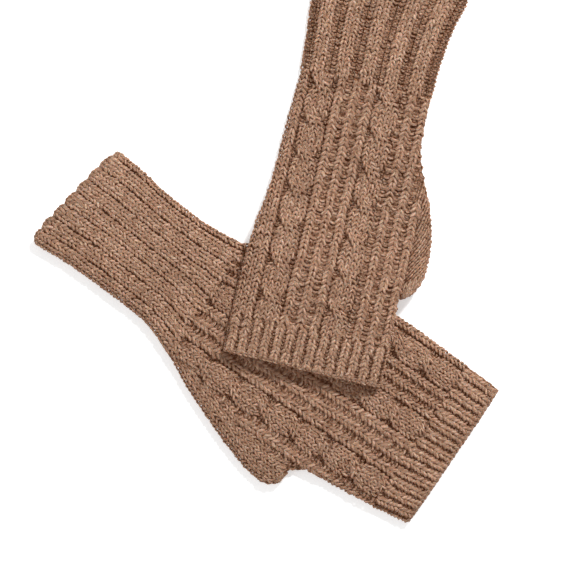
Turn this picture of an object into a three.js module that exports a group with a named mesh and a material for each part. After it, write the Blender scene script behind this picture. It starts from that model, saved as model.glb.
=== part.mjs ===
// A pair of long cable-knit fingerless gloves laid out flat, the right one across the left one.
// Millimetres, +Z up. The origin is the middle of the pair's footprint, on the table they lie on.
//
// Each glove is a flattened knitted tube. A place on it is given by u, the distance from the
// cast-on edge at the wrist towards the fingers, and by an angle around the tube: 0 is the fold on
// the little-finger side, a quarter turn is the back of the hand, half a turn is the fold on the
// thumb side, and three quarters is the palm.
import * as THREE from "three";

// Driving dimensions of one glove.
const LENGTH = 270; // cast-on edge to bind-off edge
const THICK = 12; // both layers of the tube with the air between them
const WALL = 2.5; // one layer of knitted fabric
const GAP = 0.3; // clearance between neighbouring pieces
const GUSSET_GAP = 0.6; // clearance along the slanting lines of the thumb gusset
const EDGE_LENGTH = 3; // cast-on and bind-off edges
const CUFF_FOLD_AT = 48; // where the cuff turns back on itself
const CUFF_LENGTH = 100; // the ribbed cuff
const HAND_FROM = CUFF_LENGTH + GAP / 2; // start of the hand
const GUSSET_FROM = HAND_FROM + 1; // start of the gusset, which keeps clear of the cuff as the thumb folds
const FINGER_RIB_AT = 247; // start of the ribbed band below the fingers
const SEAM_ANGLE = 0.21; // half the width of the linked side seam, radians around the tube
const SEAM_GAP_ANGLE = 0.03; // clearance beside the seam
const FOLD_GAP_ANGLE = 0.05; // clearance between back and palm in the fold beyond the thumb
const FOLD_HEIGHT = 0.42; // height of the side folds, as a share of the thickness
const CROWN = 5; // how squarely the back of the tube turns down into its folds
const FLOOR_ROUNDING = 8; // radius at which the palm side turns up into the folds

// The thumb's mouth: a short edge facing forward and outward.
const THUMB_EDGE_LENGTH = 6;
const THUMB_THICK = 10.6;
const THUMB_SQUARENESS = 3; // 2 would be a plain ellipse
const THUMB_WALL = 2;

// Where the right glove lies over the left one it is carried on top of it.
const REST_GAP = 0.4; // air between the two gloves
const DRAPE_LENGTH = 60; // run over which the right glove comes down to the table

const YARN = { roughness: 0.95, metalness: 0 };
const YARN_BACK = 0x91705d;
const YARN_RIB = 0x9c7c69;
const YARN_EDGE = 0x866552;

// Sizes of the two gloves as they lie. Edge lists are [u, distance from the centre line] pairs:
// positive distances are towards the little finger. The thumb's bulge ends at the crotch, and from
// there the thumb-side fold is the hand's own.
const leftGlove = {
  name: "left",
  cuffPlace: [-112.7, 9.1],
  heading: -34.2, // degrees from +X, wrist towards fingers
  littleFingerSide: 1, // +1 where the little finger is to the left of the heading
  endSlant: 0.17, // how far the cast-on edge leans, per millimetre across
  littleFingerFold: [
    [0, 37], [5, 37.4], [23, 35.8], [48, 32.6], [75, 31.2], [95, 33.1], [143, 41], [196, 49.3], [243, 48.2],
    [270, 47],
  ],
  thumbBulge: [
    [0, -34.5], [5, -35.4], [25, -34.4], [53, -35.2], [73, -36.6], [85, -39.4], [103, -47], [123, -56.6],
    [149, -66.9], [170, -73.9], [184, -76], [196, -74],
  ],
  thumbFold: [[194, -60.5], [203, -56.4], [214, -54], [231, -52.6], [251, -50.6], [270, -47.4]],
  crotchAt: 194.5,
  gussetLine: [[100, -42], [193, -60.5]],
  thumbMouth: { centre: [192.2, -69.4], half: 8.2, turn: 33 },
};

const rightGlove = {
  name: "right",
  cuffPlace: [84.7, 170.8],
  heading: -103.5,
  littleFingerSide: -1,
  endSlant: 0,
  littleFingerFold: [
    [0, 47.5], [35, 46.7], [69, 44.2], [95, 41.9], [113, 41.5], [131, 42.4], [167, 43.2], [205, 47], [270, 47],
  ],
  thumbBulge: [
    [0, -47.5], [38, -45], [56, -40.9], [77, -38.2], [103, -37.5], [130, -39.3], [147, -45.2], [163, -52],
    [180, -56.9], [196, -58], [215, -56],
  ],
  thumbFold: [[214, -47], [227, -46.8], [270, -47]],
  crotchAt: 214,
  gussetLine: [[100, -34.5], [212, -43]],
  thumbMouth: { centre: [210.6, -51.4], half: 7.3, turn: 25 },
};

// A smooth curve through [position, value] pairs, straight beyond its ends.
function smoothThrough(pairs) {
  const slopes = pairs.map((pair, i) => {
    const before = pairs[Math.max(i - 1, 0)];
    const after = pairs[Math.min(i + 1, pairs.length - 1)];
    return (after[1] - before[1]) / (after[0] - before[0]);
  });
  return (x) => {
    let i = 0;
    while (i < pairs.length - 2 && x > pairs[i + 1][0]) i += 1;
    const [x0, y0] = pairs[i];
    const [x1, y1] = pairs[i + 1];
    const run = x1 - x0;
    const s = THREE.MathUtils.clamp((x - x0) / run, 0, 1);
    const rise = y1 - y0;
    const bend0 = slopes[i] * run - rise;
    const bend1 = rise - slopes[i + 1] * run;
    return y0 + rise * s + s * (1 - s) * (bend0 * (1 - s) + bend1 * s);
  };
}

function unitVector(degrees) {
  const angle = THREE.MathUtils.degToRad(degrees);
  return new THREE.Vector2(Math.cos(angle), Math.sin(angle));
}

// Adds to a glove's sizes the functions that place its points.
function prepare(glove) {
  const along = unitVector(glove.heading);
  const across = new THREE.Vector2(-along.y, along.x).multiplyScalar(glove.littleFingerSide);
  const cuffPlace = new THREE.Vector2(...glove.cuffPlace);
  const littleFinger = smoothThrough(glove.littleFingerFold);
  const bulge = smoothThrough(glove.thumbBulge);
  const hand = smoothThrough(glove.thumbFold);
  return {
    ...glove,
    // The plan position of the point u along the glove and v across it.
    plan(u, v) {
      const slant = glove.endSlant * Math.max(0, 1 - u / CUFF_FOLD_AT);
      return cuffPlace.clone().addScaledVector(along, u + slant * v).addScaledVector(across, v);
    },
    littleFinger,
    thumbSide: (u) => (u <= glove.crotchAt ? bulge(u) : hand(u)),
  };
}

const left = prepare(leftGlove);
const right = prepare(rightGlove);

// Height of the surface that the right glove lies on: the left glove's back, then a slope, then the
// table. The distance is measured square to the left glove's little-finger fold.
function restHeight(glove, place) {
  if (glove.name === "left") return 0;
  const foldStart = left.plan(CUFF_LENGTH, left.littleFinger(CUFF_LENGTH));
  const foldEnd = left.plan(LENGTH, left.littleFinger(LENGTH));
  const fold = foldEnd.clone().sub(foldStart).normalize();
  const outward = new THREE.Vector2(-fold.y, fold.x);
  const distance = place.clone().sub(foldStart).dot(outward);
  return (THICK + REST_GAP) * (1 - THREE.MathUtils.smoothstep(distance, 0, DRAPE_LENGTH));
}

function lift(glove, place, height) {
  return new THREE.Vector3(place.x, place.y, restHeight(glove, place) + height);
}

// Height of a flattened tube's skin, at share t of its half width and a depth inside its outer face.
function backHeight(t, thick, depth) {
  const fold = FOLD_HEIGHT * thick;
  return fold + (thick - depth - fold) * Math.sqrt(1 - Math.min(1, Math.abs(t) ** CROWN));
}

function palmHeight(t, halfWidth, thick, depth) {
  const fold = FOLD_HEIGHT * thick;
  const rounding = FLOOR_ROUNDING / halfWidth;
  const turned = THREE.MathUtils.clamp((Math.abs(t) - (1 - rounding)) / rounding, 0, 1);
  return depth + (fold - depth) * (1 - Math.sqrt(1 - turned * turned));
}

// Distance from the centre line of the tube's skin at u, at an angle around it.
function tubeAcross(glove, u, angle, depth) {
  const little = glove.littleFinger(u);
  const thumb = glove.thumbSide(u);
  return (little + thumb) / 2 + ((little - thumb) / 2 - depth) * Math.cos(angle);
}

// The point of the tube at u and an angle around it, depth inside its outer face.
function tubePoint(glove, u, angle, depth) {
  const halfWidth = (glove.littleFinger(u) - glove.thumbSide(u)) / 2 - depth;
  const t = Math.cos(angle);
  const height =
    Math.sin(angle) >= 0 ? backHeight(t, THICK, depth) : palmHeight(t, halfWidth, THICK, depth);
  return lift(glove, glove.plan(u, tubeAcross(glove, u, angle, depth)), height);
}

// Angle at which the tube crosses the distance v, on its back.
function angleAt(glove, u, v) {
  const little = glove.littleFinger(u);
  const thumb = glove.thumbSide(u);
  const share = (v - (little + thumb) / 2) / ((little - thumb) / 2);
  return Math.acos(THREE.MathUtils.clamp(share, -1, 1));
}

function lineThrough([[u0, v0], [u1, v1]]) {
  return (u) => v0 + ((v1 - v0) * (u - u0)) / (u1 - u0);
}

function spread(from, to, count) {
  return Array.from({ length: count + 1 }, (_, i) => from + ((to - from) * i) / count);
}

// A closed skin of fabric. rows run along the glove; each holds { outer, inner } points around it.
// A ring joins its last point to its first, and a panel has two side edges instead.
function fabricGeometry(rows, isRing, flipped) {
  const around = rows[0].length;
  const points = rows.flatMap((row) => row.flatMap((point) => [point.outer, point.inner]));
  const outer = (i, j) => 2 * (i * around + (j % around));
  const inner = (i, j) => outer(i, j) + 1;
  const triangles = [];
  const quad = (a, b, c, d) => {
    triangles.push(a, b, c, a, c, d);
  };
  const columns = isRing ? around : around - 1;
  const last = rows.length - 1;
  for (let j = 0; j < columns; j += 1) {
    for (let i = 0; i < last; i += 1) {
      quad(outer(i, j), outer(i + 1, j), outer(i + 1, j + 1), outer(i, j + 1));
      quad(inner(i, j), inner(i, j + 1), inner(i + 1, j + 1), inner(i + 1, j));
    }
    quad(outer(0, j), outer(0, j + 1), inner(0, j + 1), inner(0, j));
    quad(outer(last, j), inner(last, j), inner(last, j + 1), outer(last, j + 1));
  }
  if (!isRing) {
    const side = around - 1;
    for (let i = 0; i < last; i += 1) {
      quad(outer(i, 0), inner(i, 0), inner(i + 1, 0), outer(i + 1, 0));
      quad(outer(i, side), outer(i + 1, side), inner(i + 1, side), inner(i, side));
    }
  }
  if (flipped) triangles.reverse();
  const geometry = new THREE.BufferGeometry().setFromPoints(points);
  geometry.setIndex(triangles);
  geometry.computeVertexNormals();
  return geometry;
}

function piece(glove, name, color, rows, isRing) {
  const material = new THREE.MeshStandardMaterial({ color, ...YARN });
  const mesh = new THREE.Mesh(fabricGeometry(rows, isRing, glove.littleFingerSide > 0), material);
  mesh.name = `${glove.name}_${name}`;
  return mesh;
}

// A length of whole tube, from one u to another.
function tubeRing(glove, name, color, from, to, steps) {
  const angles = spread(0, 2 * Math.PI, 36).slice(0, -1);
  const rows = spread(from + GAP / 2, to - GAP / 2, steps).map((u) =>
    angles.map((angle) => ({
      outer: tubePoint(glove, u, angle, 0),
      inner: tubePoint(glove, u, angle, WALL),
    })),
  );
  return piece(glove, name, color, rows, true);
}

// A strip of the hand between two angles that may change along it.
function handPanel(glove, name, color, stations, startAngle, endAngle, columns) {
  const rows = stations.map((u) =>
    spread(startAngle(u), endAngle(u), columns).map((angle) => ({
      outer: tubePoint(glove, u, angle, 0),
      inner: tubePoint(glove, u, angle, WALL),
    })),
  );
  return piece(glove, name, color, rows, false);
}

// The hand: a cabled back, a plain palm and the seam that links them beside the little finger.
// Up to the crotch they stop at the gusset, and after it they meet in the hand's own fold.
function handPieces(glove) {
  const gussetLine = lineThrough(glove.gussetLine);
  const stations = [
    ...spread(HAND_FROM, glove.crotchAt, 7),
    ...spread(glove.crotchAt + 5, FINGER_RIB_AT - GAP / 2, 3),
  ];
  const thumbSideEnd = (u) => {
    const inFold = Math.PI - FOLD_GAP_ANGLE;
    return u <= glove.crotchAt ? Math.min(angleAt(glove, u, gussetLine(u) + GUSSET_GAP / 2), inFold) : inFold;
  };
  const turn = 2 * Math.PI;
  const seamSide = SEAM_ANGLE + SEAM_GAP_ANGLE;
  return [
    handPanel(glove, "cabled_back", YARN_BACK, stations, () => seamSide, thumbSideEnd, 14),
    handPanel(glove, "plain_palm", YARN_BACK, stations, (u) => turn - thumbSideEnd(u), () => turn - seamSide, 14),
    handPanel(glove, "side_seam", YARN_EDGE, stations, () => -SEAM_ANGLE, () => SEAM_ANGLE, 4),
  ];
}

// The thumb gusset: open towards the hand, and cut on the slant where the thumb comes out.
function gussetPiece(glove) {
  const { thumbMouth } = glove;
  const gussetLine = lineThrough(glove.gussetLine);
  const [mouthU, mouthV] = thumbMouth.centre;
  const facing = THREE.MathUtils.degToRad(thumbMouth.turn);
  const endAt = (v) => mouthU - THUMB_EDGE_LENGTH / Math.cos(facing) - GAP + Math.tan(facing) * (v - mouthV);
  const endInMiddle = endAt(mouthV);
  // The slant depends on v and v on u, so each point settles in a few rounds.
  const point = (share, turn, depth) => {
    let u = THREE.MathUtils.lerp(GUSSET_FROM, endInMiddle, share);
    let angle = 0;
    for (let round = 0; round < 8; round += 1) {
      const start = angleAt(glove, u, gussetLine(u) - GUSSET_GAP / 2);
      angle = THREE.MathUtils.lerp(start, 2 * Math.PI - start, turn);
      const slanted = endAt(tubeAcross(glove, u, angle, depth)) - endInMiddle;
      u = THREE.MathUtils.lerp(GUSSET_FROM, endInMiddle, share) + share * share * slanted;
    }
    return tubePoint(glove, u, angle, depth);
  };
  const rows = spread(0, 1, 7).map((share) =>
    spread(0, 1, 14).map((turn) => ({ outer: point(share, turn, 0), inner: point(share, turn, WALL) })),
  );
  return piece(glove, "thumb_gusset", YARN_BACK, rows, false);
}

// The bound edge around the thumb's mouth, an oval ring square to the thumb.
function thumbEdgePiece(glove) {
  const { centre, half, turn } = glove.thumbMouth;
  const facing = THREE.MathUtils.degToRad(turn);
  const outward = [Math.cos(facing), -Math.sin(facing)];
  const sideways = [Math.sin(facing), Math.cos(facing)];
  const middle = THUMB_THICK / 2;
  const squared = (share) => Math.sign(share) * Math.abs(share) ** (2 / THUMB_SQUARENESS);
  const point = (run, angle, depth) => {
    const side = (half - depth) * squared(Math.cos(angle));
    const u = centre[0] + outward[0] * run + sideways[0] * side;
    const v = centre[1] + outward[1] * run + sideways[1] * side;
    return lift(glove, glove.plan(u, v), middle + (middle - depth) * squared(Math.sin(angle)));
  };
  const angles = spread(0, 2 * Math.PI, 24).slice(0, -1);
  const rows = spread(GAP - THUMB_EDGE_LENGTH, 0, 1).map((run) =>
    angles.map((angle) => ({ outer: point(run, angle, 0), inner: point(run, angle, THUMB_WALL) })),
  );
  return piece(glove, "thumb_bind_off", YARN_EDGE, rows, true);
}

function gloveGroup(glove) {
  const group = new THREE.Group();
  group.add(
    tubeRing(glove, "cuff_cast_on", YARN_EDGE, 0, EDGE_LENGTH, 1),
    tubeRing(glove, "cuff_turn_back", YARN_RIB, EDGE_LENGTH, CUFF_FOLD_AT, 4),
    tubeRing(glove, "cuff_rib", YARN_RIB, CUFF_FOLD_AT, CUFF_LENGTH, 4),
    ...handPieces(glove),
    gussetPiece(glove),
    thumbEdgePiece(glove),
    tubeRing(glove, "finger_rib", YARN_RIB, FINGER_RIB_AT, LENGTH - EDGE_LENGTH, 2),
    tubeRing(glove, "finger_bind_off", YARN_EDGE, LENGTH - EDGE_LENGTH, LENGTH, 1),
  );
  return group;
}

const pair = new THREE.Group();
pair.add(gloveGroup(left), gloveGroup(right));

export default pair;
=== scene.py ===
"""Looks of a pair of long cable-knit fingerless gloves, laid out flat, the right one across the left one.

Every glove is knitted here loop by loop. A stitch is placed in fabric coordinates: a, the distance
across the fabric; u, the distance from the cast-on edge towards the fingers; and a height above the
fabric. A Skin then lays it on the flattened tube that the CAD model describes. The distance v across a
glove is measured on the table, from its middle line towards the little finger. Working lengths are
millimetres, and meshes are made in metres.
"""

import math

import bpy
import numpy as np
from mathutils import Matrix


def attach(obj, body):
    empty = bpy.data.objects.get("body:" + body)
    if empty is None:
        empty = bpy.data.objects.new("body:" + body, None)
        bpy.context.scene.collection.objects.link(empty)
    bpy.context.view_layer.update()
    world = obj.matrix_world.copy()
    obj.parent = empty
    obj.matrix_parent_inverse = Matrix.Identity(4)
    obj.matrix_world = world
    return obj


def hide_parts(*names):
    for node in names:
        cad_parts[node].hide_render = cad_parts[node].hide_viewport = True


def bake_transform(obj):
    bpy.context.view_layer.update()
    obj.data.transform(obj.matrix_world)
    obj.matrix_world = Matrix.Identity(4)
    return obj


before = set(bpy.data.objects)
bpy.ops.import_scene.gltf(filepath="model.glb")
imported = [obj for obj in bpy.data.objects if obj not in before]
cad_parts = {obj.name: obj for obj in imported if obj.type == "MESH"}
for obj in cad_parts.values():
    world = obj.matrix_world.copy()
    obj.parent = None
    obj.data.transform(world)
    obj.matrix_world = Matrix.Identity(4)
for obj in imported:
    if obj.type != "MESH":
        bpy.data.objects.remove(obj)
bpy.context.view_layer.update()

# ---------------------------------------------------------------- sizes shared with the CAD model
LENGTH = 270.0
THICK = 12.0
EDGE_LENGTH = 3.0
CUFF_FOLD_AT = 48.0
CUFF_LENGTH = 100.0
FINGER_RIB_AT = 247.0
FOLD_HEIGHT = 0.42
CROWN = 5
FLOOR_ROUNDING = 8.0
SEAM_ANGLE = 0.22
THUMB_EDGE_LENGTH = 9.0
THUMB_THICK = 10.6
THUMB_SQUARENESS = 3.0
REST_GAP = 0.4
DRAPE_LENGTH = 60.0

# ---------------------------------------------------------------- the two gloves
KNIT, PURL = 1.0, -1.0

# cuff_place, heading: where the cuff's middle lies on the table, and where the fingers point, in degrees.
# side: 1 where the little finger lies to the left of the heading, -1 where it lies to the right.
# end_slant: how far the cuff's end slants, as a share of its width.
# little, bulge, fold: v at each u, for the little finger's side, the thumb's side up to the crotch, and
# the thumb's side beyond it.
# gusset, crease: (u, v) points where the thumb's gusset meets the palm, and where it meets the back.
# mouth: the thumb's end. Its outer side curves from the fold at from_u, towards bend, to the tip, and
# its inner side runs between two (u, v) points.
# cables, crossing: where the ropes' middles lie across the back, and u at one of their crossings.
# ribs, rib, groove: how many ribs run round the cuff; the kind, width and height of one rib's wales; and
# where its groove lies, as a share of the rib.
# gusset_knit: the wale and row of the gusset's stitches, how far they turn, in degrees, and how far
# their legs lean.
# sunk: how far the gusset lies below the back beside it.
# thumb_bend: two distances beside the thumb's fold, handed to blend_from_hand, which bends nothing.
LEFT = dict(
    name="left",
    cuff_place=(-112.7, 9.1),
    heading=-34.2,
    side=1,
    end_slant=0.17,
    little=[(0, 37), (5, 37.4), (23, 35.8), (48, 32.6), (75, 31.2), (95, 33.1), (143, 41), (196, 49.3),
            (243, 48.2), (270, 47)],
    bulge=[(0, -34.5), (5, -35.4), (25, -34.4), (53, -35.2), (73, -36.6), (85, -39.4), (103, -47),
           (123, -56.6), (149, -66.9), (170, -73.9), (184, -76), (196, -74)],
    fold=[(194, -60.5), (203, -56.4), (214, -54), (231, -52.6), (251, -50.6), (270, -47.4)],
    crotch=194.5,
    gusset=[(100, -42), (193, -60.5)],
    crease=[(100, -42), (193, -60.5)],
    mouth=dict(
        from_u=183.5,
        bend=(190.6, -74.3),
        tip=(193.6, -69.2),
        inner=[(190.5, -60.5), (194.8, -63.6)],
    ),
    cables=(36.0, 1.2, -38.5),
    crossing=227.0,
    ribs=15,
    rib=[(KNIT, 4.1, 0.2), (PURL, 0.8, -2.6), (KNIT, 4.1, 0.2)],
    groove=0.5,
    gusset_knit=(3.6, 2.6, 0.0, 0.3),
    sunk=0.6,
    thumb_bend=(0.5, 8.5),
)
RIGHT = dict(
    name="right",
    cuff_place=(84.7, 170.8),
    heading=-103.5,
    side=-1,
    end_slant=0.0,
    little=[(0, 47.5), (35, 46.7), (69, 44.2), (95, 41.9), (113, 41.5), (131, 42.4), (167, 43.2),
            (205, 47), (270, 47)],
    bulge=[(0, -47.5), (38, -45), (56, -40.9), (77, -38.2), (103, -37.5), (130, -39.3), (147, -45.2),
           (163, -52), (180, -56.9), (196, -58), (215, -56)],
    fold=[(214, -47), (227, -46.8), (270, -47)],
    crotch=214.0,
    gusset=[(100, -34.5), (212, -43)],
    crease=[(100, -38), (138, -41.8), (212, -46.4)],
    mouth=dict(
        from_u=199.0,
        bend=(208.5, -55.2),
        tip=(213.2, -50.4),
        inner=[(211.5, -44.5), (216.6, -47.4)],
    ),
    cables=(26.6, -12.8),
    crossing=233.0,
    ribs=11,
    rib=[(PURL, 3.2, -2.5), (PURL, 3.2, -2.5), (KNIT, 3.9, 0.3), (KNIT, 3.9, 0.3)],
    groove=0.23,
    gusset_knit=(2.9, 2.6, 28.0, 0.14),
    sunk=2.4,
    thumb_bend=(2.0, 9.0),
)

# ---------------------------------------------------------------- the yarn and its loops
YARN_DEPTH = 1.5  # the yarn's middle surface, inside the outer face
YARN_SHARE = 0.225  # the yarn's radius, as a share of its loop's width
YARN_RADII = (0.6, 1.1)  # the smallest and the largest radius
LOOP_DEPTH = 1.0  # how far a loop's legs stand in front of its head
LOOP_HEIGHT = 0.78  # half of a loop's height, as a share of the row

# How a loop is drawn: steps along it, sides round it, and how far its legs lean, as a share of a wale.
FINE = (12, 6, 0.3)
ROUND = (12, 6, 0.255)
PLAIN = (10, 4, 0.27)

# How much the stitches differ, as standard deviations.
LEAN_VARIES, HEIGHT_VARIES, DEPTH_VARIES, RADIUS_VARIES = 0.2, 0.11, 0.12, 0.1  # shares of the value
WALE_VARIES, ROW_VARIES = 0.05, 0.085  # shares of a wale and of a row
LEVEL_VARIES = 0.1

WEB_HALF = 0.53  # half of a web's width and height, as a share of the wale and the row
WEB_LIFT = -0.6
WEB_SHADE = 0.15  # the web's value of the height attribute, low so that the wool paints it dark as shade
SHADE_RANGE = 1.6  # the distance from the fabric's middle that counts as a height of 1, where no shade is painted
SUNK_SHADE = 0.25  # how much darker painted shade makes a wale for each millimetre it lies low
SUNK_RANGE = (-1.6, 0.4)  # the heights of a wale that count for this

# The bake's map gives each stitch one tile. Its yarn fills most of it, and its web a small corner.
YARN_IN_TILE = (0.04, 0.92)
WEB_IN_TILE = (0.01, 0.02)
YARN_MAP = (11.0, 4.4)  # how far the yarn's map runs along and round one loop
YARN_MAP_SHIFT = 400.0  # the most by which the map is shifted from stitch to stitch
AROUND_SHIFT = 0.37  # the share of that shift that applies round the loop

# ---------------------------------------------------------------- the knit
WALE = 3.9
CUFF_ROW = 2.35
HAND_ROW = 2.75
THUMB_ROW = 2.5
CHAIN_WIDTH = 2.2  # the width of the chain of loops round an edge
CHAIN_LIFT = -0.1
CUFF_CHAIN, FINGER_CHAIN, THUMB_CHAIN = 60, 64, 13  # loops in the chains
# How far the last row at an edge ends from the very end, and how far in its chain lies.
CUFF_END, FINGER_END, THUMB_END = (1.2, 0.9), (1.4, 1.1), (1.0, 0.6)

SCALLOP, SCALLOP_SHARPNESS = 1.6, 1.5  # how far the cuff's end turns in between two ribs
CORNER, CORNER_SHARPNESS = 3.0, 11  # how far it turns in at the side folds
SCALLOPS_END = 14.0  # how far from the end both fade out

CABLE_ROW = 2.6
CABLE_PERIOD = 21.0
CABLE_WIDTH = 14.6
CROSSING_REACH = 0.64  # the share of a period over which a crossing is drawn out
CROSSING_NARROWS = 0.1
ROPE_SIDE, ROPE_RISE = -0.4, 1.5  # the height of a rope's sides, and its middle's height above them
FRONT_RISES, REAR_SINKS = 1.2, -1.1  # what a crossing adds to the strands in front and behind
TROUGH = 1.2
UNDER_ROPE = (-1.9, -0.6, -0.6, -0.6, -0.6, -1.9)  # heights of the purl wales under a rope

BAND = ((KNIT, 4.7, 0.4), (PURL, 3.7, -0.8))  # wales of the textured bands: kind, width and height
MOSS = (-0.7, 0.5)  # what the rows add in turn to the height of a band's purl wales
BAND_WALES = 5  # between two ropes
THUMB_SIDE_WALES = 8  # between the last rope and the thumb
PLAIN_WALES = 8  # between the first rope and the little finger
FIRST_PLAIN_LIFT = 0.5
FINGER_RIB = ((PURL, 1.8, -1.3), (KNIT, 4.8, 0.2))
FINGER_RIBS = 29

HAND_SINKS, HAND_SINKS_OVER = 0.8, 12.0  # how far the hand sinks where it meets the cuff
RIBS_FLATTEN, RIBS_FLATTEN_OVER = 0.8, 7.0  # the share by which the cuff's ribs flatten there
PALM_WALES, PALM_LIFT = 70, -0.6
BACK_OVERLAP = 1.0  # how far the back and the gusset overlap beside the crease
WRAP = 0.2  # how far back and palm run past the thumb's fold beyond the crotch, in radians
GUSSET_WALES = 52
GUSSET_REACH = 95.0  # half of the length of the field that the gusset is cut from
GUSSET_PALM_SUNK = 0.6  # how far the gusset lies below the palm beside it
GUSSET_SLOPE = 6.0  # the width of the slope down to it
GUSSET_DEEPENS = 20.0  # how far before the crotch it reaches its full depth
GUSSET_UNDER_MOUTH = 2.5  # how far it runs into the thumb's mouth
MOUTH_WALES = 12
MOUTH_NARROWS = 0.2

SKIN_FROM = 90.0  # where the skins of hand and thumb begin, a little inside the cuff
HAND_REACH, THUMB_REACH = 110.0, 60.0  # how far the skins reach to either side
THUMB_SKIN_PAST = 10.0  # how far the thumb's skin runs past the crotch
ANGLES, COLUMNS = 1441, 401  # samples round a tube, and across its skin
MOUTH_RINGS, MOUTH_TURNS = 13, 241  # samples along and round the thumb's mouth

CUFF_BEND = (CUFF_FOLD_AT + 1, CUFF_FOLD_AT - 9)  # two distances u on the back, handed to blend_from_hand, which bends nothing


# ---------------------------------------------------------------- curves and surfaces
def smooth_through(pairs):
    """A smooth curve through (position, value) pairs, constant beyond its ends."""
    xs, ys = np.array(pairs, float).T
    last = len(xs) - 1
    before = np.maximum(np.arange(last + 1) - 1, 0)
    after = np.minimum(np.arange(last + 1) + 1, last)
    slopes = (ys[after] - ys[before]) / (xs[after] - xs[before])

    def curve(x):
        x = np.asarray(x, float)
        i = np.clip(np.searchsorted(xs, x) - 1, 0, last - 1)
        run = xs[i + 1] - xs[i]
        s = np.clip((x - xs[i]) / run, 0, 1)
        rise = ys[i + 1] - ys[i]
        bend0 = slopes[i] * run - rise
        bend1 = rise - slopes[i + 1] * run
        return ys[i] + rise * s + s * (1 - s) * (bend0 * (1 - s) + bend1 * s)

    return curve


def smoothstep(x, low, high):
    """Rises smoothly from 0 at low to 1 at high."""
    s = np.clip((x - low) / (high - low), 0, 1)
    return s * s * (3 - 2 * s)


def unit(vectors):
    return vectors / np.maximum(np.linalg.norm(vectors, axis=-1, keepdims=True), 1e-9)


def distance_along(line):
    """The distance from a line's first point to each of its points."""
    return np.concatenate([[0], np.cumsum(np.linalg.norm(np.diff(line, axis=0), axis=1))])


class Glove:
    """The outer shape of one glove, as a flattened tube, which may lie on another glove."""

    def __init__(self, sizes, under=None):
        self.__dict__.update(sizes)
        self.under = under
        angle = math.radians(self.heading)
        self.along = np.array([math.cos(angle), math.sin(angle)])
        self.across = np.array([-self.along[1], self.along[0]]) * self.side
        self.little_at = smooth_through(self.little)
        self.bulge_at = smooth_through(self.bulge)
        self.fold_at = smooth_through(self.fold)
        self.crease_at = smooth_through(self.crease)

    def thumb_at(self, u):
        return np.where(u <= self.crotch, self.bulge_at(u), self.fold_at(u))

    def gusset_at(self, u):
        (u0, v0), (u1, v1) = self.gusset
        return v0 + (v1 - v0) * (u - u0) / (u1 - u0)

    def v_at(self, u, angle):
        little, thumb = self.little_at(u), self.thumb_at(u)
        return (little + thumb) / 2 + (little - thumb) / 2 * np.cos(angle)

    def middle_angle(self, u):
        """The angle of the back's middle line, where v is 0."""
        little, thumb = self.little_at(u), self.thumb_at(u)
        return math.acos(-(little + thumb) / (little - thumb))

    def plan(self, u, v):
        slant = self.end_slant * np.maximum(0, 1 - u / CUFF_FOLD_AT)
        reach = (u + slant * v)[..., None] * self.along
        return np.array(self.cuff_place) + reach + v[..., None] * self.across

    def point(self, u, angle, depth):
        """A point of the tube. Angle 0 is the little-finger fold and a quarter turn is the back."""
        u, angle = np.broadcast_arrays(np.asarray(u, float), np.asarray(angle, float))
        little, thumb = self.little_at(u), self.thumb_at(u)
        half = (little - thumb) / 2 - depth
        t = np.cos(angle)
        fold = FOLD_HEIGHT * THICK
        back = fold + (THICK - depth - fold) * np.sqrt(1 - np.minimum(1, np.abs(t) ** CROWN))
        rounding = FLOOR_ROUNDING / half
        turned = np.clip((np.abs(t) - (1 - rounding)) / rounding, 0, 1)
        palm = depth + (fold - depth) * (1 - np.sqrt(1 - turned * turned))
        return self.lifted(u, (little + thumb) / 2 + half * t, np.where(np.sin(angle) >= 0, back, palm))

    def lifted(self, u, v, height):
        place = self.plan(u, v)
        return np.concatenate([place, (height + self.rest_height(place))[..., None]], axis=-1)

    def rest_height(self, place):
        """A glove that lies on the other one's back comes down to the table beside it."""
        if self.under is None:
            return np.zeros(place.shape[:-1])
        ends = np.array([CUFF_LENGTH, LENGTH])
        start, end = self.under.plan(ends, self.under.little_at(ends))
        fold = (end - start) / np.linalg.norm(end - start)
        distance = (place - start) @ np.array([-fold[1], fold[0]])
        return (THICK + REST_GAP) * (1 - smoothstep(distance, 0, DRAPE_LENGTH))


class Skin:
    """A curved surface looked up by two distances, a and u, with its normals pointing outward."""

    def __init__(self, points, a_range, u_range, outside):
        self.points = points
        (a0, a1), (u0, u1) = a_range, u_range
        rows, columns = points.shape[:2]
        self.low = np.array([u0, a0])
        self.step = np.array([(u1 - u0) / (rows - 1), (a1 - a0) / (columns - 1)])
        self.normals = unit(np.cross(np.gradient(points, axis=0), np.gradient(points, axis=1)))
        if np.dot(self.normals[rows // 2, columns // 2], outside) < 0:
            self.normals = -self.normals

    def look_up(self, table, a, u):
        place = [(u - self.low[0]) / self.step[0], (a - self.low[1]) / self.step[1]]
        rows, columns = (np.clip(p, 0, n - 1.001) for p, n in zip(place, table.shape))
        i, j = rows.astype(int), columns.astype(int)
        s, t = (rows - i)[..., None], (columns - j)[..., None]
        near = table[i, j] * (1 - t) + table[i, j + 1] * t
        far = table[i + 1, j] * (1 - t) + table[i + 1, j + 1] * t
        return near * (1 - s) + far * s

    def at(self, a, u, height):
        normal = unit(self.look_up(self.normals, a, u))
        return self.look_up(self.points, a, u) + height[..., None] * normal


def scalloped(glove, u, angle, share):
    """Rounds the cuff's end: every rib ends in a bump, and the end turns in at the side folds."""
    rib = np.abs(np.sin(math.pi * (glove.ribs * share - glove.groove)))
    corner = np.abs(np.cos(angle)) ** CORNER_SHARPNESS
    turned_in = SCALLOP * (1 - rib) ** SCALLOP_SHARPNESS + CORNER * corner
    return u + turned_in * np.clip(1 - u / SCALLOPS_END, 0, 1) ** 2


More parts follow.
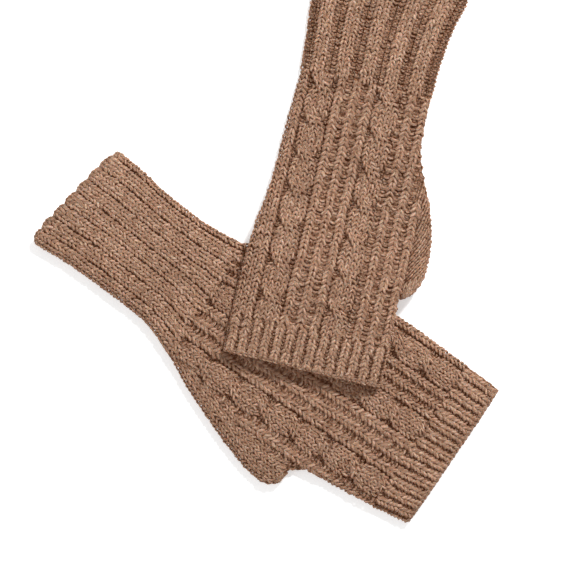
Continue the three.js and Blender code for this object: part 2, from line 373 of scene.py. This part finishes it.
def tube_skin(glove, u_range, a_range, outside, start_angle=0, zero_at=None, sign=1):
    """The tube's skin. a is measured round it from the angle zero_at(u), and grows with the angle where
    sign is 1. Without zero_at, a is the share of the way round, and the cuff's end is scalloped."""
    us = np.arange(u_range[0], u_range[1] + 1e-6, 1.0)
    angles = start_angle + np.linspace(0, 2 * math.pi, ANGLES)
    loops = glove.point(us[:, None], angles[None, :], YARN_DEPTH)
    a_grid = np.linspace(*a_range, COLUMNS)
    rows, turned = [], []
    for u, loop in zip(us, loops):
        arc = distance_along(loop)
        if zero_at is None:
            angle = np.interp(a_grid * arc[-1], arc, angles)
            along = scalloped(glove, u, angle, a_grid)
        else:
            angle = np.interp(np.interp(zero_at(u), angles, arc) + sign * a_grid, arc, angles)
            along = np.full_like(angle, u)
        turned.append(angle)
        rows.append(glove.point(along, angle, YARN_DEPTH))
    skin = Skin(np.array(rows), a_range, u_range, outside)
    skin.angles = np.array(turned)[..., None]
    return skin


def thumb_start(glove):
    """The point of the thumb's fold where its edge band begins."""
    u = glove.mouth["from_u"]
    return np.array([u, glove.bulge_at(u) + YARN_DEPTH])


def thumb_mouth_skin(glove):
    """The ring that ends the thumb: an oval from its outer to its inner side, narrower at the edge."""
    runs = np.linspace(0, 1, MOUTH_RINGS)
    first = thumb_start(glove)
    bend, last = np.array(glove.mouth["bend"]), np.array(glove.mouth["tip"])
    t = runs[:, None]
    outer = first * (1 - t) ** 2 + 2 * bend * t * (1 - t) + last * t**2
    start, end = np.array(glove.mouth["inner"])
    inner = start * (1 - t) + end * t
    turns = np.linspace(0, 2 * math.pi, MOUTH_TURNS)

    def squared(share):
        return np.sign(share) * np.abs(share) ** (2 / THUMB_SQUARENESS)

    share = (1 + squared(np.cos(turns)))[None, :, None] / 2
    spot = outer[:, None] * (1 - share) + inner[:, None] * share
    half = (THUMB_THICK / 2 - YARN_DEPTH) * (1 - MOUTH_NARROWS * runs**2)
    height = THUMB_THICK / 2 + half[:, None] * squared(np.sin(turns))
    loops = glove.lifted(spot[..., 0], spot[..., 1], height)
    arc = distance_along(loops[0])
    even = np.interp(np.linspace(0, arc[-1], MOUTH_TURNS), arc, np.arange(MOUTH_TURNS))
    lower = np.minimum(even.astype(int), MOUTH_TURNS - 2)
    part = (even - lower)[None, :, None]
    loops = loops[:, lower] * (1 - part) + loops[:, lower + 1] * part
    return Skin(loops, (0, 1), (0, THUMB_EDGE_LENGTH), -np.append(glove.across, 0))


# ---------------------------------------------------------------- stitches
class Stitches:
    """A set of loops: their middles and their wale and row directions in (a, u), their kinds and
    heights, and the heights and kinds at their two sides."""

    FIELDS = ("middle", "wale", "row", "kind", "lift", "edges", "sides")

    def __init__(self, middle, wale, row, kind, lift, edges=None, sides=None):
        self.middle, self.wale, self.row = middle, wale, row
        self.kind, self.lift = kind, lift
        self.edges = np.stack([lift, lift], axis=1) if edges is None else edges
        self.sides = np.stack([kind, kind], axis=1) if sides is None else sides

    def keep(self, mask):
        return Stitches(*[getattr(self, field)[mask] for field in self.FIELDS])

    def rotate(self, centre, angle):
        turn = np.array([[math.cos(angle), math.sin(angle)], [-math.sin(angle), math.cos(angle)]])
        self.middle = (self.middle - centre) @ turn + centre
        self.wale, self.row = self.wale @ turn, self.row @ turn

    def raise_by(self, height):
        self.lift = self.lift + height
        self.edges = self.edges + height[:, None]

    @staticmethod
    def join(sets):
        return Stitches(*[np.concatenate([getattr(s, field) for s in sets]) for field in Stitches.FIELDS])


def at_sides(values):
    """The values at both sides of each wale: there it is the mean of the two wales that meet."""
    padded = np.pad(values, ((0, 0), (1, 1)), mode="edge")
    borders = (padded[:, 1:] + padded[:, :-1]) / 2
    return np.stack([borders[:, :-1], borders[:, 1:]], -1).reshape(-1, 2)


def row_middles(u_from, u_to, pitch):
    """The middles of the rows that fill a length evenly, and their exact pitch."""
    count = round((u_to - u_from) / pitch)
    pitch = (u_to - u_from) / count
    return u_from + (np.arange(count) + 0.5) * pitch, pitch


def columns_of(borders, kinds, lifts, u_from, u_to, pitch=HAND_ROW):
    """Stitches of neighbouring wales between borders. Kinds and lifts are one value for all, one for
    each wale, or one for each row and wale."""
    us, pitch = row_middles(u_from, u_to, pitch)
    shape = (len(us), len(borders) - 1)
    kinds, lifts = np.broadcast_to(kinds, shape), np.broadcast_to(lifts, shape)

    def everywhere(across, along):
        pairs = np.broadcast_to(across, shape), np.broadcast_to(along, shape)
        return np.stack(pairs, -1).reshape(-1, 2)

    return Stitches(
        everywhere((borders[1:] + borders[:-1]) / 2, us[:, None]),
        everywhere(np.diff(borders), 0.0),
        everywhere(0.0, pitch),
        kinds.ravel(),
        lifts.ravel(),
        at_sides(lifts),
        at_sides(kinds),
    )


def even_borders(count, wale):
    return (np.arange(count + 1) - count // 2) * wale


def rib_borders(rib, count):
    """A rib repeated round a tube: the wales' borders as shares of its girth, their kinds and heights."""
    kinds, widths, lifts = np.tile(np.array(rib, float).T, count)
    return np.concatenate([[0], np.cumsum(widths)]) / widths.sum(), kinds, lifts


def edge_chain(u, count, lift=CHAIN_LIFT):
    """A chain of loops that runs once round an edge."""
    ones = np.ones(count)
    return Stitches(
        np.stack([(np.arange(count) + 0.5) / count, ones * u], -1),
        np.stack([ones * 0, ones * CHAIN_WIDTH], -1),
        np.stack([ones / count, ones * 0], -1),
        ones * KNIT,
        ones * lift,
    )


def rope(centre, crossing, u_from, u_to):
    """A rope of four knit wales. Pairs of wales swap sides at each crossing, and the pair that moves
    towards the thumb passes in front."""
    us, pitch = row_middles(u_from, u_to, CABLE_ROW)
    half = CABLE_WIDTH / 2
    wale = CABLE_WIDTH / 4
    phase = (us - crossing) / CABLE_PERIOD
    from_crossing = (phase - np.round(phase)) / CROSSING_REACH
    part = np.clip(from_crossing + 0.5, 0, 1)
    swap = 2 * part * part * (3 - 2 * part) - 1
    rate = 12 * part * (1 - part) / (CROSSING_REACH * CABLE_PERIOD)
    cover = 1 - smoothstep(np.abs(from_crossing) * 2, 0, 1)
    strands = []
    for direction, parting in ((-1, FRONT_RISES), (1, REAR_SINKS)):
        for side in (-1, 1):
            offset = (direction * swap * wale + side * wale / 2) * (1 - CROSSING_NARROWS * cover)
            lean = direction * rate * wale
            rounded = 1 - (offset / half) ** 2
            stretch = np.sqrt(1 + lean**2)
            strands.append(
                Stitches(
                    np.stack([centre + offset, us], -1),
                    np.stack([wale / stretch, -lean * wale / stretch], -1),
                    np.stack([lean * pitch, np.full_like(us, pitch)], -1),
                    np.full_like(us, KNIT),
                    ROPE_RISE * rounded + ROPE_SIDE + cover * parting,
                )
            )
    return strands


def back_of_hand(glove, u_from, u_to):
    """The cabled back: ropes over purl wales, and textured bands beside and between the ropes."""
    sets = []
    half = CABLE_WIDTH / 2
    for centre in glove.cables:
        sets += rope(centre, glove.crossing, u_from, u_to)
        under = centre + np.linspace(-half - TROUGH, half + TROUGH, len(UNDER_ROPE) + 1)
        sets.append(columns_of(under, PURL, UNDER_ROPE, u_from, u_to))
    rows = np.arange(len(row_middles(u_from, u_to, HAND_ROW)[0]))

    def band(high, low, wales):
        """Raised knit wales with a moss wale between each two, from v = high down to v = low."""
        kinds, widths, lifts = np.array([BAND[i % 2] for i in range(wales)]).T
        shares = np.concatenate([[0], np.cumsum(widths)]) / widths.sum()
        bumps = np.array(MOSS)[rows % 2][:, None] * (kinds == PURL)
        sets.append(columns_of(low + shares * (high - low), kinds, lifts + bumps, u_from, u_to))

    for high, low in zip(glove.cables[:-1], glove.cables[1:]):
        band(high - half - TROUGH, low + half + TROUGH, BAND_WALES)
    inner = glove.cables[-1] - half
    pair = sum(width for _, width, _ in BAND)
    band(inner, inner - THUMB_SIDE_WALES / 2 * pair, THUMB_SIDE_WALES)
    outer = glove.cables[0] + half + TROUGH + np.arange(PLAIN_WALES + 1) * WALE
    lifts = np.zeros(PLAIN_WALES)
    lifts[0] = FIRST_PLAIN_LIFT
    sets.append(columns_of(outer, KNIT, lifts, u_from, u_to))
    return Stitches.join(sets)


# ---------------------------------------------------------------- meshes
def yarn_tubes(stitches, skin, steps, sides, lean, rng):
    """The loops' tubes, by stitch, step along the yarn and side, and how high each point stands, as the
    height attribute from which the wool paints shade.
    """

    def varied(deviation):
        return rng.normal(0, deviation, (len(stitches.middle), 1))

    s = np.linspace(-0.5, 0.5, steps + 1)
    swing = lean * (1 + varied(LEAN_VARIES))
    height = LOOP_HEIGHT * (1 + varied(HEIGHT_VARIES))
    span = (s + swing * np.sin(4 * math.pi * s))[..., None]
    rise = (height * np.cos(2 * math.pi * s))[..., None]
    middle = stitches.middle + stitches.wale * varied(WALE_VARIES) + stitches.row * varied(ROW_VARIES)
    spot = middle[:, None] + stitches.wale[:, None] * span + stitches.row[:, None] * rise
    a, u = spot[..., 0], spot[..., 1]
    # Towards its sides a loop takes on its neighbours' heights, and at its ends their kinds.
    towards = np.clip((np.abs(s) - 0.25) / 0.25, 0, 1)
    edge = np.where(s < 0, stitches.edges[:, :1], stitches.edges[:, 1:])
    side = np.where(s < 0, stitches.sides[:, :1], stitches.sides[:, 1:])
    face = np.where(np.abs(s) > 0.375, side, stitches.kind[:, None])
    depth = LOOP_DEPTH * (1 + varied(DEPTH_VARIES))
    level = stitches.lift[:, None] * (1 - towards) + edge * towards
    level = level - depth * face * np.cos(4 * math.pi * s) + varied(LEVEL_VARIES)

    centres = skin.at(a, u, level)
    tangents = unit(np.gradient(centres, axis=1))
    sideways = unit(np.cross(tangents, skin.look_up(skin.normals, a, u)))
    upward = np.cross(sideways, tangents)
    width = np.linalg.norm(centres[:, -1] - centres[:, 0], axis=-1)[:, None]
    radius = np.clip(YARN_SHARE * width, *YARN_RADII) * (1 + varied(RADIUS_VARIES))
    turn = np.arange(sides) / sides * 2 * math.pi - math.pi / 2
    ring = np.cos(turn)[:, None] * sideways[:, :, None] + np.sin(turn)[:, None] * upward[:, :, None]
    # The height attribute, from which the wool paints shade, is 0 deep between the loops and 1 on a face
    # of the fabric. Wales that lie low get lower values, so painted shade darkens them too.
    above = (level - stitches.lift[:, None])[..., None] + radius[..., None] * np.sin(turn)
    low_wale_painted_shade = SUNK_SHADE * np.clip(stitches.lift, *SUNK_RANGE)[:, None, None]
    heights = np.clip(np.abs(above) / SHADE_RANGE + low_wale_painted_shade, 0, 1)
    return centres[:, :, None] + radius[..., None, None] * ring, heights


def webs(stitches, skin):
    """The web behind each stitch: its points, in two rows of three, and their places in (a, u)."""
    shares = np.array([(x, y) for y in (-WEB_HALF, WEB_HALF) for x in (-WEB_HALF, 0.0, WEB_HALF)])
    spot = stitches.middle[:, None] + stitches.wale[:, None] * shares[:, :1]
    spot = spot + stitches.row[:, None] * shares[:, 1:]
    level = np.stack([stitches.edges[:, 0], stitches.lift, stitches.edges[:, 1]] * 2, -1) + WEB_LIFT
    return skin.at(spot[..., 0], spot[..., 1], level), spot, shares + WEB_HALF


def yarn_mesh(name, parts, rng):
    """One mesh of yarn. parts holds (Stitches, Skin, how a loop is drawn).

    Behind its loop every stitch has a patch of a thin web, which stands for the fuzz that fills the
    gaps of brushed wool and keeps the floor from showing through. Its low height value paints it
    darker, as painted shade deep in the gaps.
    """
    total = sum(len(stitches.middle) for stitches, _, _ in parts)
    across = math.ceil(math.sqrt(total / 2))
    down = math.ceil(total / across)
    first_point = first_stitch = 0
    pieces = []

    def add(points, quads, in_tile, yarn, heights):
        """Adds points and quads. in_tile holds x and y of the quads' corners in their stitch's tile."""
        nonlocal first_point
        x, y = in_tile
        number = (first_stitch + np.arange(len(points))).reshape(-1, *[1] * (quads.ndim - 1))
        tiles = np.broadcast_arrays((number % across + x) / across, (number // across + y) / down)
        flat = [values.reshape(-1, 2) for values in (np.stack(tiles, -1), yarn)]
        points = points.reshape(-1, 3)
        pieces.append((points / 1000, first_point + quads.reshape(-1, 4), *flat, heights.ravel()))
        first_point += len(points)

    halves = np.array([(0, 1, 4, 3), (1, 2, 5, 4)])
    for stitches, skin, (steps, sides, lean) in parts:
        count = len(stitches.middle)
        points, heights = yarn_tubes(stitches, skin, steps, sides, lean, rng)
        stitch = np.arange(count)[:, None, None, None]
        step = np.arange(steps)[:, None, None] + np.array([0, 0, 1, 1])
        side = np.arange(sides)[:, None] + np.array([0, 1, 1, 0])
        quads = (stitch * (steps + 1) + step) * sides + side % sides
        margin, size = YARN_IN_TILE
        in_tile = margin + size * step / steps, margin + size * side / sides
        # The yarn's map runs along the thread and begins somewhere else for every stitch.
        shift = rng.uniform(0, YARN_MAP_SHIFT, (count, 1, 1, 1))
        along = step / steps * YARN_MAP[0] + shift
        around = side / sides * YARN_MAP[1] + shift * AROUND_SHIFT
        add(points, quads, in_tile, np.stack(np.broadcast_arrays(along, around), -1), heights)

        points, spot, corners = webs(stitches, skin)
        quads = np.arange(count)[:, None, None] * 6 + halves
        margin, size = WEB_IN_TILE
        in_tile = [margin + size * corners[halves, axis] for axis in (0, 1)]
        add(points, quads, in_tile, spot[:, halves] + shift, np.full(count * 6, WEB_SHADE))
        first_stitch += count
    return mesh_object(name, *map(np.concatenate, zip(*pieces)))


def mesh_object(name, points, quads, bake, yarn, heights):
    mesh = bpy.data.meshes.new(name)
    mesh.vertices.add(len(points))
    mesh.vertices.foreach_set("co", points.astype(np.float32).ravel())
    mesh.loops.add(quads.size)
    mesh.loops.foreach_set("vertex_index", quads.astype(np.int32).ravel())
    mesh.polygons.add(len(quads))
    mesh.polygons.foreach_set("loop_start", np.arange(0, quads.size, 4, dtype=np.int32))
    mesh.polygons.foreach_set("use_smooth", np.ones(len(quads), bool))
    mesh.update(calc_edges=True)
    for layer, values in (("Yarn", yarn), ("OFBake", bake)):
        mesh.uv_layers.new(name=layer).data.foreach_set("uv", values.astype(np.float32).ravel())
    mesh.uv_layers["Yarn"].active_render = True
    # The height attribute sets where the wool paints shade.
    mesh.attributes.new("height", "FLOAT", "POINT").data.foreach_set("value", heights.astype(np.float32))
    made = bpy.data.objects.new(name, mesh)
    bpy.context.scene.collection.objects.link(made)
    return made


# ---------------------------------------------------------------- materials
def wool(name, dark, middle, light):
    """Heathered wool: fibres of three shades that follow the thread, plied and slightly fuzzy."""
    material = bpy.data.materials.new(name)
    material.use_nodes = True
    nodes, links = material.node_tree.nodes, material.node_tree.links
    shader = nodes["Principled BSDF"]
    shader.inputs["Roughness"].default_value = 0.88
    shader.inputs["Specular IOR Level"].default_value = 0.15
    shader.inputs["Subsurface Weight"].default_value = 0.6
    shader.inputs["Subsurface Radius"].default_value = (1.0, 0.45, 0.25)
    shader.inputs["Subsurface Scale"].default_value = 0.001
    # A faint warm glow stands for light scattered deep in the fibres.
    shader.inputs["Emission Color"].default_value = (1.0, 0.33, 0.12, 1)
    shader.inputs["Emission Strength"].default_value = 0.024
    shader.inputs["Sheen Weight"].default_value = 0.06
    shader.inputs["Sheen Roughness"].default_value = 0.5
    shader.inputs["Sheen Tint"].default_value = (0.95, 0.78, 0.66, 1)
    thread = nodes.new("ShaderNodeUVMap")
    thread.uv_map = "Yarn"

    def stretched(x, y):
        mapping = nodes.new("ShaderNodeMapping")
        mapping.inputs["Scale"].default_value = (x, y, 1)
        mapping.inputs["Rotation"].default_value = (0, 0, 0.5)
        links.new(thread.outputs["UV"], mapping.inputs["Vector"])
        return mapping.outputs["Vector"]

    def noise(vector, scale, detail):
        texture = nodes.new("ShaderNodeTexNoise")
        texture.inputs["Scale"].default_value = scale
        texture.inputs["Detail"].default_value = detail
        texture.inputs["Roughness"].default_value = 0.6
        links.new(vector, texture.inputs["Vector"])
        return texture.outputs["Fac"]

    def colour_ramp(factor, low, high, between=()):
        """Colours along a ramp. Each stop is a position and a colour."""
        ramp = nodes.new("ShaderNodeValToRGB")
        elements = ramp.color_ramp.elements
        for index, (position, colour) in enumerate((low, high)):
            elements[index].position = position
            elements[index].color = (*colour, 1)
        for position, colour in between:
            elements.new(position).color = (*colour, 1)
        links.new(factor, ramp.inputs["Fac"])
        return ramp.outputs["Color"]

    def vector_math(operation, first, second, socket):
        node = nodes.new("ShaderNodeVectorMath")
        node.operation = operation
        links.new(first, node.inputs[0])
        links.new(second, node.inputs[socket])
        return node.outputs["Vector"]

    fibres = noise(stretched(0.4, 1.1), 1.0, 4)
    shades = colour_ramp(fibres, (0.34, dark), (0.66, light), [(0.5, middle)])
    place = nodes.new("ShaderNodeTexCoord")
    patches = noise(place.outputs["Object"], 55, 2)
    patch_range = nodes.new("ShaderNodeMapRange")
    patch_range.inputs["From Min"].default_value = 0.3
    patch_range.inputs["From Max"].default_value = 0.7
    patch_range.inputs["To Min"].default_value = 0.93
    patch_range.inputs["To Max"].default_value = 1.07
    links.new(patches, patch_range.inputs["Value"])
    patchy = vector_math("SCALE", shades, patch_range.outputs["Result"], "Scale")
    # Painted shade: where the height attribute is low, deep between the loops and on low wales, the wool
    # is painted darker and redder.
    height = nodes.new("ShaderNodeAttribute")
    height.attribute_name = "height"
    painted_depth_shade = colour_ramp(height.outputs["Fac"], (0.05, (0.4, 0.27, 0.19)), (0.75, (1, 1, 1)))
    links.new(vector_math("MULTIPLY", patchy, painted_depth_shade, 1), shader.inputs["Base Color"])
    plies = nodes.new("ShaderNodeTexWave")
    plies.inputs["Scale"].default_value = 0.45
    plies.inputs["Distortion"].default_value = 1.5
    plies.inputs["Detail"].default_value = 2
    links.new(stretched(1, 1), plies.inputs["Vector"])
    fuzz = noise(stretched(0.5, 2), 4, 2)
    relief = nodes.new("ShaderNodeMath")
    relief.operation = "ADD"
    links.new(plies.outputs["Fac"], relief.inputs[0])
    links.new(fuzz, relief.inputs[1])
    bump = nodes.new("ShaderNodeBump")
    bump.inputs["Strength"].default_value = 0.6
    bump.inputs["Distance"].default_value = 0.0002
    links.new(relief.outputs["Value"], bump.inputs["Height"])
    links.new(bump.outputs["Normal"], shader.inputs["Normal"])
    return material


WOOL = {
    "rib_knit": wool("rib_wool", (0.18, 0.1, 0.063), (0.31, 0.187, 0.124), (0.53, 0.362, 0.267)),
    "cable_knit": wool("cable_wool", (0.17, 0.094, 0.059), (0.295, 0.175, 0.116), (0.51, 0.348, 0.255)),
    "plain_knit": wool("plain_wool", (0.165, 0.091, 0.057), (0.285, 0.17, 0.112), (0.49, 0.335, 0.245)),
    "edge_knit": wool("edge_wool", (0.16, 0.088, 0.055), (0.275, 0.165, 0.109), (0.47, 0.32, 0.235)),
}


# ---------------------------------------------------------------- the pieces of a glove
def make_piece(glove, node, slot, parts, rng, rides=None):
    """Knits one piece in place of its CAD node. A piece that rides on nothing is attached to no body."""
    name = f"{glove.name}_{node}"
    piece = yarn_mesh(f"{name}_knit", parts, rng)
    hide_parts(name)
    piece.data.materials.append(WOOL[slot])
    if rides:
        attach(piece, f"{glove.name}_{rides}")
    return piece


def blend_from_hand(piece, glove, spots):
    """Bakes a piece's placement into its mesh. It works out points on the back from the two (u, v) spots,
    but these are not used and nothing bends.
    """
    start, end = [tuple(np.append(glove.plan(*spot), THICK) / 1000) for spot in spots]
    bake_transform(piece)


def places_of(field, skin, glove):
    """Where stitches lie on the glove: their distance u, their angle round it, and v."""
    a, u = field.middle.T
    angle = skin.look_up(skin.angles, a, u)[..., 0]
    return u, angle, glove.v_at(u, angle)


def knit_cuff(glove, ring, rng):
    """The cuff: its cast-on edge, the half that turns back, and the half that stays."""
    rib = rib_borders(glove.rib, glove.ribs)

    def rows(low, high):
        field = columns_of(*rib, low, high, CUFF_ROW)
        fade = smoothstep(field.middle[:, 1], CUFF_LENGTH - RIBS_FLATTEN_OVER, CUFF_LENGTH)
        field.raise_by(-RIBS_FLATTEN * field.lift * fade)
        return [(field, ring, ROUND)]

    row_end, chain_at = CUFF_END
    edge = rows(row_end, EDGE_LENGTH) + [(edge_chain(chain_at, CUFF_CHAIN), ring, ROUND)]
    make_piece(glove, "cuff_cast_on", "edge_knit", edge, rng, "cuff")
    turn_back = make_piece(glove, "cuff_turn_back", "rib_knit", rows(EDGE_LENGTH, CUFF_FOLD_AT), rng)
    make_piece(glove, "cuff_rib", "rib_knit", rows(CUFF_FOLD_AT, CUFF_LENGTH), rng, "hand")
    blend_from_hand(turn_back, glove, np.array([(u, 0.0) for u in CUFF_BEND]))


def knit_finger_end(glove, ring, rng):
    """The ribbed band below the fingers and its bound-off edge."""
    rib = rib_borders(FINGER_RIB, FINGER_RIBS)

    def rows(low, high):
        return [(columns_of(*rib, low, high, CUFF_ROW), ring, ROUND)]

    edge_at = LENGTH - EDGE_LENGTH
    make_piece(glove, "finger_rib", "rib_knit", rows(FINGER_RIB_AT, edge_at), rng, "hand")
    row_end, chain_at = (LENGTH - inwards for inwards in FINGER_END)
    edge = rows(edge_at, row_end) + [(edge_chain(chain_at, FINGER_CHAIN), ring, ROUND)]
    make_piece(glove, "finger_bind_off", "edge_knit", edge, rng, "hand")


def knit_back(glove, rng):
    """The cabled back and the side seam. a runs from the back's middle line to the little finger."""
    skin = tube_skin(
        glove,
        (SKIN_FROM, LENGTH),
        (-HAND_REACH, HAND_REACH),
        (0, 0, 1),
        start_angle=-math.pi / 2,
        zero_at=glove.middle_angle,
        sign=-1,
    )
    field = back_of_hand(glove, CUFF_LENGTH, FINGER_RIB_AT)
    away = smoothstep(field.middle[:, 1], CUFF_LENGTH, CUFF_LENGTH + HAND_SINKS_OVER)
    field.raise_by(-HAND_SINKS * (1 - away))
    u, angle, v = places_of(field, skin, glove)
    before_crease = (v > glove.crease_at(u) - BACK_OVERLAP) & (angle < math.pi)
    in_back = np.where(u <= glove.crotch, before_crease, angle < math.pi + WRAP) & (angle >= SEAM_ANGLE)
    in_seam = np.abs(angle) < SEAM_ANGLE
    make_piece(glove, "cabled_back", "cable_knit", [(field.keep(in_back), skin, FINE)], rng, "hand")
    make_piece(glove, "side_seam", "edge_knit", [(field.keep(in_seam), skin, FINE)], rng, "hand")


def knit_palm(glove, rng):
    """The plain palm. a runs from its own middle line."""
    skin = tube_skin(
        glove,
        (SKIN_FROM, LENGTH),
        (-HAND_REACH, HAND_REACH),
        (0, 0, -1),
        start_angle=math.pi / 2,
        zero_at=lambda u: 2 * math.pi - glove.middle_angle(u),
    )
    borders = even_borders(PALM_WALES, WALE)
    field = columns_of(borders, KNIT, PALM_LIFT, CUFF_LENGTH, FINGER_RIB_AT)
    u, angle, v = places_of(field, skin, glove)
    before_gusset = (v > glove.gusset_at(u)) & (angle > math.pi)
    in_palm = np.where(u <= glove.crotch, before_gusset, angle > math.pi + WRAP)
    in_palm = in_palm & (angle < 2 * math.pi - SEAM_ANGLE)
    make_piece(glove, "plain_palm", "plain_knit", [(field.keep(in_palm), skin, PLAIN)], rng, "hand")


def gusset_field(glove, skin):
    """The stitches of the thumb's gusset. a runs from the fold along the thumb."""
    wale, row, degrees, _ = glove.gusset_knit
    middle = (CUFF_LENGTH + glove.crotch) / 2
    borders = even_borders(GUSSET_WALES, wale)
    field = columns_of(borders, KNIT, 0.0, middle - GUSSET_REACH, middle + GUSSET_REACH, row)
    field.rotate(np.array([0, middle]), math.radians(degrees))
    u, angle, v = places_of(field, skin, glove)
    on_back = angle < math.pi
    line = np.where(on_back, glove.crease_at(u), glove.gusset_at(u))
    deepening = smoothstep(u, CUFF_LENGTH, glove.crotch - GUSSET_DEEPENS)
    extra = np.where(on_back, (glove.sunk - GUSSET_PALM_SUNK) * deepening, 0)
    field.raise_by(-(GUSSET_PALM_SUNK + extra) * (1 - smoothstep(line - v, 0, GUSSET_SLOPE)))
    base, end = thumb_start(glove), glove.mouth["inner"][0]
    mouth_at = base[0] + (end[0] - base[0]) / (end[1] - base[1]) * (v - base[1])
    ends_at = np.minimum(mouth_at + GUSSET_UNDER_MOUTH, glove.crotch)
    return field.keep((v <= line + BACK_OVERLAP) & (u > CUFF_LENGTH) & (u < ends_at))


def knit_thumb(glove, rng):
    """The thumb's gusset and its bound-off edge."""
    u_range = (SKIN_FROM, glove.crotch + THUMB_SKIN_PAST)
    outside = -np.append(glove.across, 0)
    skin = tube_skin(glove, u_range, (-THUMB_REACH, THUMB_REACH), outside, zero_at=lambda u: math.pi)
    parts = [(gusset_field(glove, skin), skin, (*FINE[:2], glove.gusset_knit[3]))]
    gusset = make_piece(glove, "thumb_gusset", "plain_knit", parts, rng)

    mouth = thumb_mouth_skin(glove)
    borders = np.linspace(0, 1, MOUTH_WALES + 1)
    row_end, chain_at = (THUMB_EDGE_LENGTH - inwards for inwards in THUMB_END)
    rows = columns_of(borders, KNIT, 0.0, 0, row_end, THUMB_ROW)
    chain = edge_chain(chain_at, THUMB_CHAIN, lift=0.0)
    parts = [(rows, mouth, FINE), (chain, mouth, FINE)]
    edge = make_piece(glove, "thumb_bind_off", "edge_knit", parts, rng)

    fold_start, fold_end = np.array(glove.gusset, float)
    run = (fold_end - fold_start) / np.linalg.norm(fold_end - fold_start)
    beside = np.array([run[1], -run[0]])
    for piece in (gusset, edge):
        blend_from_hand(piece, glove, [fold_start + beside * d for d in glove.thumb_bend])


def knit_glove(glove, seed):
    rng = np.random.default_rng(seed)
    ring = tube_skin(glove, (0, LENGTH), (0, 1), (0, 0, 1))
    knit_cuff(glove, ring, rng)
    knit_finger_end(glove, ring, rng)
    knit_back(glove, rng)
    knit_palm(glove, rng)
    knit_thumb(glove, rng)


left = Glove(LEFT)
right = Glove(RIGHT, under=left)
knit_glove(left, seed=11)
knit_glove(right, seed=12)

# ---------------------------------------------------------------- floor, light and camera, in metres
FLOOR_HALF = 4.0
FLOOR_LEVEL = -0.0002
LIGHTS = {  # place, size and power
    "key": ((0.6, 0.95, 1.4), 0.3, 34),
    "fill": ((-0.9, -0.5, 1.2), 1.2, 4),
}
WORLD_STRENGTH = 0.5
CAMERA_PLACE = (0.0131, -0.0439, 1.258)
CAMERA_LENS = 135
CAMERA_SENSOR = 36


def lay_floor():
    corners = [(x * FLOOR_HALF, y * FLOOR_HALF, 0) for x, y in ((-1, -1), (1, -1), (1, 1), (-1, 1))]
    mesh = bpy.data.meshes.new("floor")
    mesh.from_pydata(corners, [], [(0, 1, 2, 3)])
    floor = bpy.data.objects.new("floor", mesh)
    floor.location.z = FLOOR_LEVEL
    bpy.context.scene.collection.objects.link(floor)
    paper = bpy.data.materials.new("paper")
    paper.use_nodes = True
    shader = paper.node_tree.nodes["Principled BSDF"]
    shader.inputs["Base Color"].default_value = (0.9, 0.9, 0.9, 1)
    shader.inputs["Roughness"].default_value = 0.9
    shader.inputs["Emission Color"].default_value = (1, 1, 1, 1)
    shader.inputs["Emission Strength"].default_value = 0.4
    mesh.materials.append(paper)


def hang_light(name, place, size, power):
    """A round light that faces the middle of the table."""
    data = bpy.data.lights.new(name, "AREA")
    data.shape = "DISK"
    data.size = size
    data.energy = power
    light = bpy.data.objects.new(name, data)
    light.location = place
    x, y, z = place
    light.rotation_euler = (math.acos(z / math.hypot(x, y, z)), 0, math.atan2(-y, -x) - math.pi / 2)
    bpy.context.scene.collection.objects.link(light)


def set_world():
    world = bpy.data.worlds.new("studio")
    world.use_nodes = True
    background = world.node_tree.nodes["Background"]
    background.inputs["Color"].default_value = (1, 1, 1, 1)
    background.inputs["Strength"].default_value = WORLD_STRENGTH
    bpy.context.scene.world = world
    bpy.context.scene.view_settings.view_transform = "Standard"


def set_camera():
    """The camera looks straight down, like the one that took the photograph."""
    data = bpy.data.cameras.new("camera")
    data.lens = CAMERA_LENS
    data.sensor_width = CAMERA_SENSOR
    camera = bpy.data.objects.new("camera", data)
    camera.location = CAMERA_PLACE
    bpy.context.scene.collection.objects.link(camera)
    bpy.context.scene.camera = camera


lay_floor()
for light_name, light_sizes in LIGHTS.items():
    hang_light(light_name, *light_sizes)
set_world()
set_camera()

bpy.context.view_layer.update()
